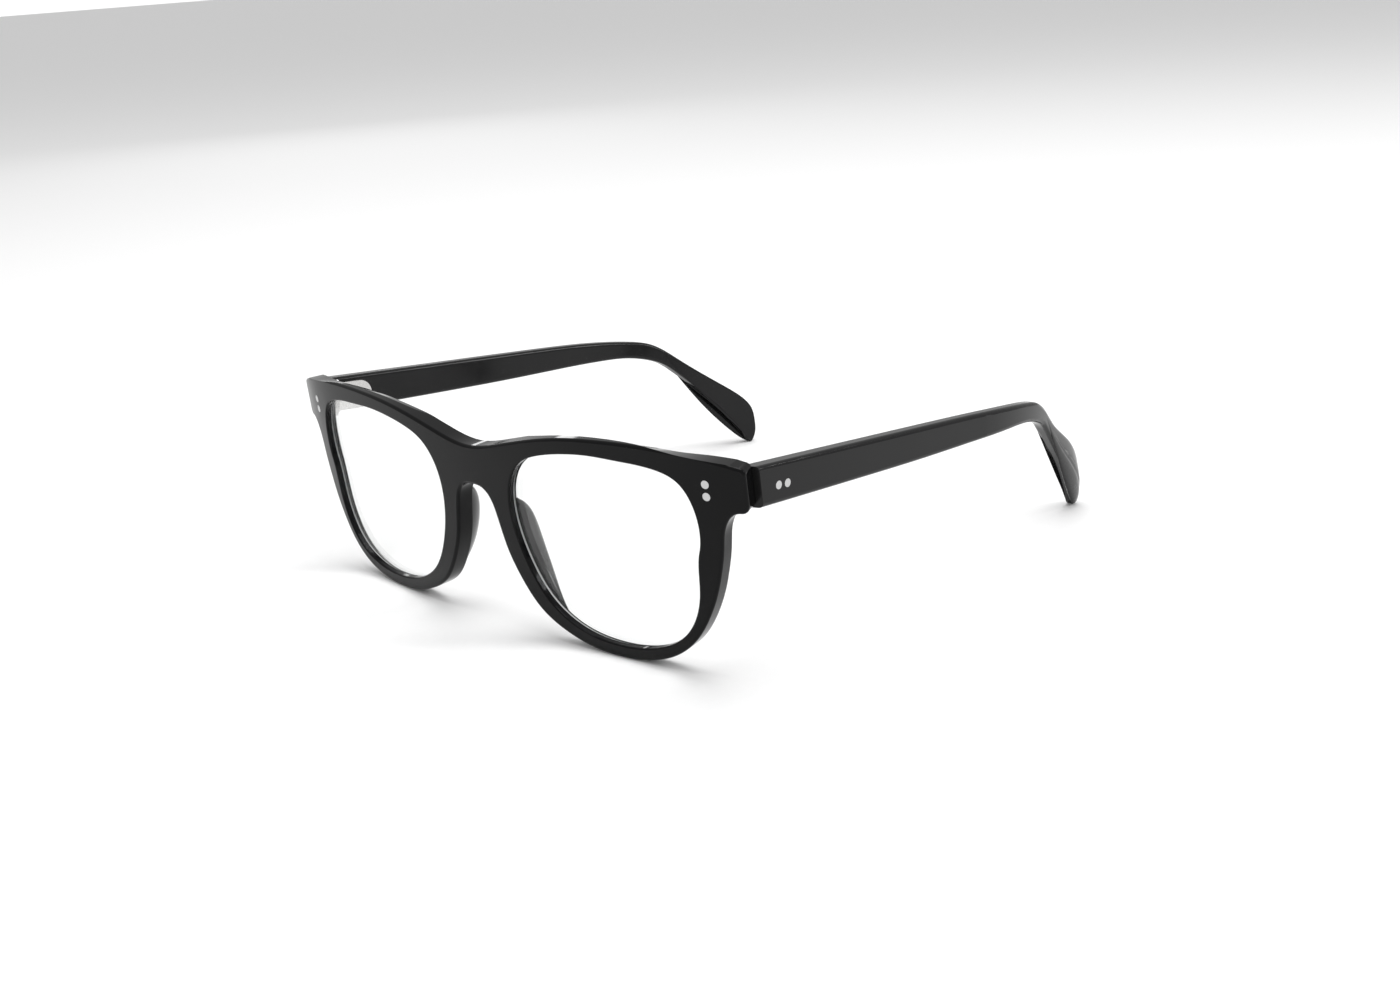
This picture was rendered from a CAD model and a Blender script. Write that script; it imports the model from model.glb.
import bmesh
import bpy
import math
from mathutils import Matrix, Vector


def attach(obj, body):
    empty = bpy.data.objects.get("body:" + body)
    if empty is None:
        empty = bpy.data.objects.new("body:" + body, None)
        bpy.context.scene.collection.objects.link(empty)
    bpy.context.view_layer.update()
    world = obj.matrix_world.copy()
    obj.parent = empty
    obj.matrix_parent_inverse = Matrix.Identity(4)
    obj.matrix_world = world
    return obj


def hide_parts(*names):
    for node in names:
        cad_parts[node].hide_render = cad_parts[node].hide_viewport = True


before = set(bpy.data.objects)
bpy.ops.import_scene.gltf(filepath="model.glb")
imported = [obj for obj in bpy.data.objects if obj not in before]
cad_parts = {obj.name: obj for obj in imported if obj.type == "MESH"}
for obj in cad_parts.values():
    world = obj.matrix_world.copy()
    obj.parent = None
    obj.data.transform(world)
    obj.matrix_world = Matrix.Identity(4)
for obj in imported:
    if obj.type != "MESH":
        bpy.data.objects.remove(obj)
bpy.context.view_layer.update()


# ---- camera ------------------------------------------------------------------------------
# It stands about 0.43 m from the middle of the pair, off the wearer's left front, looking
# slightly down at it.
CAMERA_PLACE = (0.295168, -0.288281, 0.135454)
CAMERA_AZIMUTH = math.radians(46.088)
CAMERA_HEIGHT_ANGLE = math.radians(16.946)
CAMERA_ROLL = math.radians(-3.858)
CAMERA_LENS = 47.32         # millimetres, on a sensor of this width
SENSOR_WIDTH = 36.0

camera_data = bpy.data.cameras.new("camera")
camera_data.lens = CAMERA_LENS
camera_data.sensor_width = SENSOR_WIDTH
camera_data.clip_start = 0.01
camera = bpy.data.objects.new("camera", camera_data)
bpy.context.scene.collection.objects.link(camera)
turn = (Matrix.Rotation(CAMERA_AZIMUTH, 4, "Z")
        @ Matrix.Rotation(math.radians(90.0) - CAMERA_HEIGHT_ANGLE, 4, "X")
        @ Matrix.Rotation(CAMERA_ROLL, 4, "Z"))
camera.matrix_world = Matrix.Translation(CAMERA_PLACE) @ turn
bpy.context.scene.camera = camera


# ---- front ---------------------------------------------------------------------------------
# One milled piece of black cellulose acetate holds both lenses and the bridge. It is tumbled
# in wood chips and wax until it shines, which leaves a faint haze, hairline swirls and a soft
# roll to the surface. Its face is the brightest polished part of the pair.
FRONT_DARK = (0.0022, 0.0022, 0.0024, 1.0)
FRONT_LIGHT = (0.0042, 0.0042, 0.0045, 1.0)
BARE_POLISH = 0.03          # roughness where there is no haze
HAZE_SCALE = 160.0
SWIRL_SCALE = 900.0
HAIRLINE = (0.60, 0.72)     # only the tops of the swirl pattern, between these, become lines
ROLL_SCALE = 70.0
ROLL_HEIGHT = 0.00004       # metres
SHEET_DRIFT = 45.0          # scale of the drift between the two tones of the sheet
ACETATE_IOR = 1.48


def tumbled_finish():
    """Roughness and normal of tumbled, hand-polished acetate."""
    group = bpy.data.node_groups.new("tumbled finish", "ShaderNodeTree")
    for name, value in (("Haze", 0.05), ("Swirls", 0.03), ("Roll", 0.15)):
        socket = group.interface.new_socket(name, in_out="INPUT", socket_type="NodeSocketFloat")
        socket.default_value = value
    group.interface.new_socket("Roughness", in_out="OUTPUT", socket_type="NodeSocketFloat")
    group.interface.new_socket("Normal", in_out="OUTPUT", socket_type="NodeSocketVector")
    nodes, links = group.nodes, group.links
    inside = nodes.new("NodeGroupInput")
    outside = nodes.new("NodeGroupOutput")
    place = nodes.new("ShaderNodeTexCoord")

    haze = nodes.new("ShaderNodeTexNoise")
    haze.inputs["Scale"].default_value = HAZE_SCALE
    haze.inputs["Detail"].default_value = 6.0
    links.new(place.outputs["Object"], haze.inputs["Vector"])
    haze_part = nodes.new("ShaderNodeMath")
    haze_part.operation = "MULTIPLY"
    links.new(haze.outputs["Fac"], haze_part.inputs[0])
    links.new(inside.outputs["Haze"], haze_part.inputs[1])

    swirl = nodes.new("ShaderNodeTexNoise")
    swirl.inputs["Scale"].default_value = SWIRL_SCALE
    swirl.inputs["Detail"].default_value = 3.0
    swirl.inputs["Distortion"].default_value = 2.5
    links.new(place.outputs["Object"], swirl.inputs["Vector"])
    hairline = nodes.new("ShaderNodeMapRange")
    hairline.inputs["From Min"].default_value = HAIRLINE[0]
    hairline.inputs["From Max"].default_value = HAIRLINE[1]
    links.new(swirl.outputs["Fac"], hairline.inputs["Value"])
    swirl_part = nodes.new("ShaderNodeMath")
    swirl_part.operation = "MULTIPLY_ADD"
    links.new(hairline.outputs["Result"], swirl_part.inputs[0])
    links.new(inside.outputs["Swirls"], swirl_part.inputs[1])
    links.new(haze_part.outputs["Value"], swirl_part.inputs[2])
    base = nodes.new("ShaderNodeMath")
    base.operation = "ADD"
    base.inputs[1].default_value = BARE_POLISH
    links.new(swirl_part.outputs["Value"], base.inputs[0])
    links.new(base.outputs["Value"], outside.inputs["Roughness"])

    roll = nodes.new("ShaderNodeTexNoise")
    roll.inputs["Scale"].default_value = ROLL_SCALE
    roll.inputs["Detail"].default_value = 1.0
    links.new(place.outputs["Object"], roll.inputs["Vector"])
    bump = nodes.new("ShaderNodeBump")
    bump.inputs["Distance"].default_value = ROLL_HEIGHT
    links.new(inside.outputs["Roll"], bump.inputs["Strength"])
    links.new(roll.outputs["Fac"], bump.inputs["Height"])
    links.new(bump.outputs["Normal"], outside.inputs["Normal"])
    return group


tumbled = tumbled_finish()


def acetate(name, dark, light, haze, swirls, shine):
    """Black acetate: two near-black tones drifting through the sheet under the polish."""
    material = bpy.data.materials.new(name)
    material.use_nodes = True
    nodes, links = material.node_tree.nodes, material.node_tree.links
    shader = nodes["Principled BSDF"]
    shader.inputs["IOR"].default_value = ACETATE_IOR
    shader.inputs["Specular IOR Level"].default_value = shine
    place = nodes.new("ShaderNodeTexCoord")
    drift = nodes.new("ShaderNodeTexNoise")
    drift.inputs["Scale"].default_value = SHEET_DRIFT
    drift.inputs["Detail"].default_value = 4.0
    links.new(place.outputs["Object"], drift.inputs["Vector"])
    tone = nodes.new("ShaderNodeMix")
    tone.data_type = "RGBA"
    tone.inputs["A"].default_value = dark
    tone.inputs["B"].default_value = light
    links.new(drift.outputs["Fac"], tone.inputs["Factor"])
    links.new(tone.outputs["Result"], shader.inputs["Base Color"])
    finish = nodes.new("ShaderNodeGroup")
    finish.node_tree = tumbled
    finish.inputs["Haze"].default_value = haze
    finish.inputs["Swirls"].default_value = swirls
    links.new(finish.outputs["Roughness"], shader.inputs["Roughness"])
    links.new(finish.outputs["Normal"], shader.inputs["Normal"])
    return material


front_acetate = acetate("front acetate", FRONT_DARK, FRONT_LIGHT, haze=0.06, swirls=0.03, shine=0.14)
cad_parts["front_frame"].material_slots[0].material = front_acetate


# ---- nose pads -----------------------------------------------------------------------------
# Solid acetate pads, glued behind the rims on the nose side. They are blended in by hand, so
# their polish is softer than the front's.
PAD_DARK = (0.004, 0.004, 0.0045, 1.0)
PAD_LIGHT = (0.008, 0.008, 0.008, 1.0)
SIDES = ("left", "right")   # the wearer's

pad_acetate = acetate("pad acetate", PAD_DARK, PAD_LIGHT, haze=0.12, swirls=0.05, shine=0.3)
for side in SIDES:
    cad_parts["nose_pad_" + side].material_slots[0].material = pad_acetate


# ---- temples -------------------------------------------------------------------------------
# Acetate arms with a wire core, bent warm at the ear. They carry a slightly satin polish and
# are riveted to the hinges.
TEMPLE_DARK = (0.006, 0.006, 0.0065, 1.0)
TEMPLE_LIGHT = (0.011, 0.011, 0.011, 1.0)

temple_acetate = acetate("temple acetate", TEMPLE_DARK, TEMPLE_LIGHT, haze=0.22, swirls=0.08, shine=0.22)
for side in SIDES:
    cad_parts["temple_" + side].material_slots[0].material = temple_acetate


# ---- lenses --------------------------------------------------------------------------------
# Clear resin blanks whose edges sit in a groove inside the rim. The faces are coated, so they
# reflect little. The ground edge is matt and shows as a thin pale line round the opening.
RESIN_TINT = (0.985, 0.992, 0.988, 1.0)
RESIN_IOR = 1.5
COATED_SHINE = 0.12
WIPE_SCALE = 220.0
WIPE_RANGE = (0.55, 0.85)   # part of the pattern that shows as wiped
WIPE_MARKS = 0.02           # most roughness that wiping has left
EDGE_DARK = (0.34, 0.35, 0.35, 1.0)
EDGE_LIGHT = (0.52, 0.53, 0.53, 1.0)
EDGE_GRIT = 4000.0
EDGE_GRIT_HEIGHT = 0.00002  # metres
EDGE_FACING = 0.6           # a face that looks less than this straight ahead is edge
EDGE_CREASE = math.radians(35.0)


def lens_resin():
    """Clear coated resin that lets light through to the floor and is faintly wiped."""
    material = bpy.data.materials.new("lens resin")
    material.use_nodes = True
    nodes, links = material.node_tree.nodes, material.node_tree.links
    shader = nodes["Principled BSDF"]
    shader.inputs["Base Color"].default_value = RESIN_TINT
    shader.inputs["IOR"].default_value = RESIN_IOR
    shader.inputs["Transmission Weight"].default_value = 1.0
    shader.inputs["Specular IOR Level"].default_value = COATED_SHINE
    place = nodes.new("ShaderNodeTexCoord")
    wipe = nodes.new("ShaderNodeTexNoise")
    wipe.inputs["Scale"].default_value = WIPE_SCALE
    wipe.inputs["Detail"].default_value = 5.0
    wipe.inputs["Distortion"].default_value = 1.2
    links.new(place.outputs["Object"], wipe.inputs["Vector"])
    haze = nodes.new("ShaderNodeMapRange")
    haze.inputs["From Min"].default_value = WIPE_RANGE[0]
    haze.inputs["From Max"].default_value = WIPE_RANGE[1]
    haze.inputs["To Max"].default_value = WIPE_MARKS
    links.new(wipe.outputs["Fac"], haze.inputs["Value"])
    links.new(haze.outputs["Result"], shader.inputs["Roughness"])
    clear = nodes.new("ShaderNodeBsdfTransparent")
    path = nodes.new("ShaderNodeLightPath")
    either = nodes.new("ShaderNodeMixShader")
    links.new(path.outputs["Is Shadow Ray"], either.inputs["Fac"])
    links.new(shader.outputs["BSDF"], either.inputs[1])
    links.new(clear.outputs["BSDF"], either.inputs[2])
    links.new(either.outputs["Shader"], nodes["Material Output"].inputs["Surface"])
    return material


def ground_edge():
    """Matt grey grit of an edge left as the wheel cut it."""
    material = bpy.data.materials.new("ground lens edge")
    material.use_nodes = True
    nodes, links = material.node_tree.nodes, material.node_tree.links
    shader = nodes["Principled BSDF"]
    shader.inputs["Roughness"].default_value = 0.6
    place = nodes.new("ShaderNodeTexCoord")
    grit = nodes.new("ShaderNodeTexNoise")
    grit.inputs["Scale"].default_value = EDGE_GRIT
    grit.inputs["Detail"].default_value = 2.0
    links.new(place.outputs["Object"], grit.inputs["Vector"])
    tone = nodes.new("ShaderNodeMix")
    tone.data_type = "RGBA"
    tone.inputs["A"].default_value = EDGE_DARK
    tone.inputs["B"].default_value = EDGE_LIGHT
    links.new(grit.outputs["Fac"], tone.inputs["Factor"])
    links.new(tone.outputs["Result"], shader.inputs["Base Color"])
    bump = nodes.new("ShaderNodeBump")
    bump.inputs["Strength"].default_value = 0.4
    bump.inputs["Distance"].default_value = EDGE_GRIT_HEIGHT
    links.new(grit.outputs["Fac"], bump.inputs["Height"])
    links.new(bump.outputs["Normal"], shader.inputs["Normal"])
    return material


resin = lens_resin()
edge_grey = ground_edge()
for side in SIDES:
    mesh = bpy.data.meshes.new("clear_lens_" + side)
    blank = bmesh.new()
    blank.from_mesh(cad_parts["lens_" + side].data)
    bmesh.ops.remove_doubles(blank, verts=blank.verts, dist=1e-6)
    for face in blank.faces:
        face.smooth = True
        face.material_index = 1 if abs(face.normal.y) < EDGE_FACING else 0
    blank.to_mesh(mesh)
    blank.free()
    mesh.set_sharp_from_angle(angle=EDGE_CREASE)
    mesh.materials.append(resin)
    mesh.materials.append(edge_grey)
    lens = bpy.data.objects.new("clear_lens_" + side, mesh)
    bpy.context.scene.collection.objects.link(lens)
    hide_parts("lens_" + side)
    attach(lens, "front")


# ---- hinge leaves --------------------------------------------------------------------------
# Two leaves of rolled nickel silver to a hinge, with three barrels on the front's and two on
# the temple's. They are brushed along their length and held by the rivets.
LEAF_COLOUR = (0.66, 0.65, 0.64)
BRUSH_DEPTH = 0.00001       # metres


def brushed_metal(name, colour, coarse, roughness, stretch):
    """Bare metal with fine lines, squeezed along the axes by stretch."""
    material = bpy.data.materials.new(name)
    material.use_nodes = True
    nodes, links = material.node_tree.nodes, material.node_tree.links
    shader = nodes["Principled BSDF"]
    shader.inputs["Metallic"].default_value = 1.0
    place = nodes.new("ShaderNodeTexCoord")
    squeeze = nodes.new("ShaderNodeMapping")
    squeeze.inputs["Scale"].default_value = stretch
    links.new(place.outputs["Object"], squeeze.inputs["Vector"])
    lines = nodes.new("ShaderNodeTexNoise")
    lines.inputs["Scale"].default_value = coarse
    lines.inputs["Detail"].default_value = 4.0
    links.new(squeeze.outputs["Vector"], lines.inputs["Vector"])
    tone = nodes.new("ShaderNodeMix")
    tone.data_type = "RGBA"
    tone.inputs["A"].default_value = tuple(0.82 * c for c in colour) + (1.0,)
    tone.inputs["B"].default_value = colour + (1.0,)
    links.new(lines.outputs["Fac"], tone.inputs["Factor"])
    links.new(tone.outputs["Result"], shader.inputs["Base Color"])
    rough = nodes.new("ShaderNodeMapRange")
    rough.inputs["To Min"].default_value = 0.7 * roughness
    rough.inputs["To Max"].default_value = 1.3 * roughness
    links.new(lines.outputs["Fac"], rough.inputs["Value"])
    links.new(rough.outputs["Result"], shader.inputs["Roughness"])
    bump = nodes.new("ShaderNodeBump")
    bump.inputs["Strength"].default_value = 0.35
    bump.inputs["Distance"].default_value = BRUSH_DEPTH
    links.new(lines.outputs["Fac"], bump.inputs["Height"])
    links.new(bump.outputs["Normal"], shader.inputs["Normal"])
    return material


leaf_nickel = brushed_metal("leaf nickel silver", LEAF_COLOUR, 900.0, 0.28, (1.0, 1.0, 6.0))
for side in SIDES:
    for leaf in ("hinge_front_leaf_", "hinge_temple_leaf_"):
        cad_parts[leaf + side].material_slots[0].material = leaf_nickel


# ---- hinge screws --------------------------------------------------------------------------
# Turned steel screws with a slotted head, run down through the five barrels of each hinge.
# The lathe leaves fine rings on them.
SCREW_COLOUR = (0.72, 0.72, 0.73)

screw_steel = brushed_metal("screw steel", SCREW_COLOUR, 1500.0, 0.2, (1.0, 1.0, 5.0))
for side in SIDES:
    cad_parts["hinge_screw_" + side].material_slots[0].material = screw_steel


# ---- rivets --------------------------------------------------------------------------------
# Nickel-silver pins through acetate and hinge leaf, two to each leaf. They are cut flush
# outside, polished with the acetate, and peened to a low head inside.
PIN_COLOUR = (0.60, 0.60, 0.60)

pin_nickel = brushed_metal("pin nickel silver", PIN_COLOUR, 2500.0, 0.35, (1.0, 1.0, 1.0))
for side in SIDES:
    for pin in ("front_rivet_lower_", "front_rivet_upper_", "temple_rivet_front_", "temple_rivet_rear_"):
        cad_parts[pin + side].material_slots[0].material = pin_nickel


# ---- core wires ----------------------------------------------------------------------------
# Flat nickel-silver strips shot into the warm arms to stiffen them. Black acetate hides them.
# They are drawn lengthwise and left as drawn.
CORE_COLOUR = (0.7, 0.69, 0.66)

core_nickel = brushed_metal("core nickel silver", CORE_COLOUR, 700.0, 0.35, (1.0, 0.1, 1.0))
for side in SIDES:
    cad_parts["core_wire_" + side].material_slots[0].material = core_nickel


# ---- table and light -----------------------------------------------------------------------
# A pale sheet of paper under the pair, one broad soft lamp overhead, a smaller one behind on
# the +X side, and a weak strip behind on the -X side that lights the brow's upper surface.
# The room is dimmer than the backdrop, so that the black stays black.
FLOOR_HALF = 8.0
PAPER_DARK = (0.93, 0.93, 0.93, 1.0)
PAPER_LIGHT = (0.96, 0.96, 0.96, 1.0)
PAPER_FIBRE = 600.0
BACKDROP_STRENGTH = 1.1
ROOM_STRENGTH = 0.62

floor_mesh = bpy.data.meshes.new("floor")
sheet = bmesh.new()
bmesh.ops.create_grid(sheet, x_segments=1, y_segments=1, size=FLOOR_HALF)
sheet.to_mesh(floor_mesh)
sheet.free()
floor = bpy.data.objects.new("floor", floor_mesh)
bpy.context.scene.collection.objects.link(floor)
paper = bpy.data.materials.new("pale paper")
paper.use_nodes = True
nodes, links = paper.node_tree.nodes, paper.node_tree.links
paper_shader = nodes["Principled BSDF"]
paper_shader.inputs["Roughness"].default_value = 0.8
paper_shader.inputs["Specular IOR Level"].default_value = 0.2
fibre = nodes.new("ShaderNodeTexNoise")
fibre.inputs["Scale"].default_value = PAPER_FIBRE
place = nodes.new("ShaderNodeTexCoord")
links.new(place.outputs["Object"], fibre.inputs["Vector"])
tone = nodes.new("ShaderNodeMix")
tone.data_type = "RGBA"
tone.inputs["A"].default_value = PAPER_DARK
tone.inputs["B"].default_value = PAPER_LIGHT
links.new(fibre.outputs["Fac"], tone.inputs["Factor"])
links.new(tone.outputs["Result"], paper_shader.inputs["Base Color"])
floor.data.materials.append(paper)

world = bpy.data.worlds.new("studio")
world.use_nodes = True
nodes, links = world.node_tree.nodes, world.node_tree.links
backdrop = nodes["Background"]
backdrop.inputs["Color"].default_value = (1.0, 1.0, 1.0, 1.0)
backdrop.inputs["Strength"].default_value = BACKDROP_STRENGTH
room = nodes.new("ShaderNodeBackground")
room.inputs["Color"].default_value = (1.0, 1.0, 1.0, 1.0)
room.inputs["Strength"].default_value = ROOM_STRENGTH
path = nodes.new("ShaderNodeLightPath")
either = nodes.new("ShaderNodeMixShader")
links.new(path.outputs["Is Camera Ray"], either.inputs["Fac"])
links.new(room.outputs["Background"], either.inputs[1])
links.new(backdrop.outputs["Background"], either.inputs[2])
links.new(either.outputs["Shader"], nodes["World Output"].inputs["Surface"])
bpy.context.scene.world = world


def soft_box(name, place, aim, width, height, power):
    """A rectangular lamp at a place, turned to face a point."""
    data = bpy.data.lights.new(name, "AREA")
    data.shape = "RECTANGLE"
    data.size = width
    data.size_y = height
    data.energy = power
    box = bpy.data.objects.new(name, data)
    bpy.context.scene.collection.objects.link(box)
    toward = Vector(aim) - Vector(place)
    box.matrix_world = Matrix.Translation(place) @ toward.to_track_quat("-Z", "Y").to_matrix().to_4x4()


soft_box("overhead", (0.0, 0.1, 1.1), (0.0, 0.0, 0.0), 0.9, 0.9, 8.0)
soft_box("rear right", (0.75, 0.85, 0.75), (0.0, 0.0, 0.03), 0.4, 0.4, 3.0)
soft_box("rear left strip", (-1.04, 0.6, 0.31), (0.0, 0.0, 0.04), 0.25, 0.1, 0.28)

bpy.context.scene.view_settings.view_transform = "Standard"
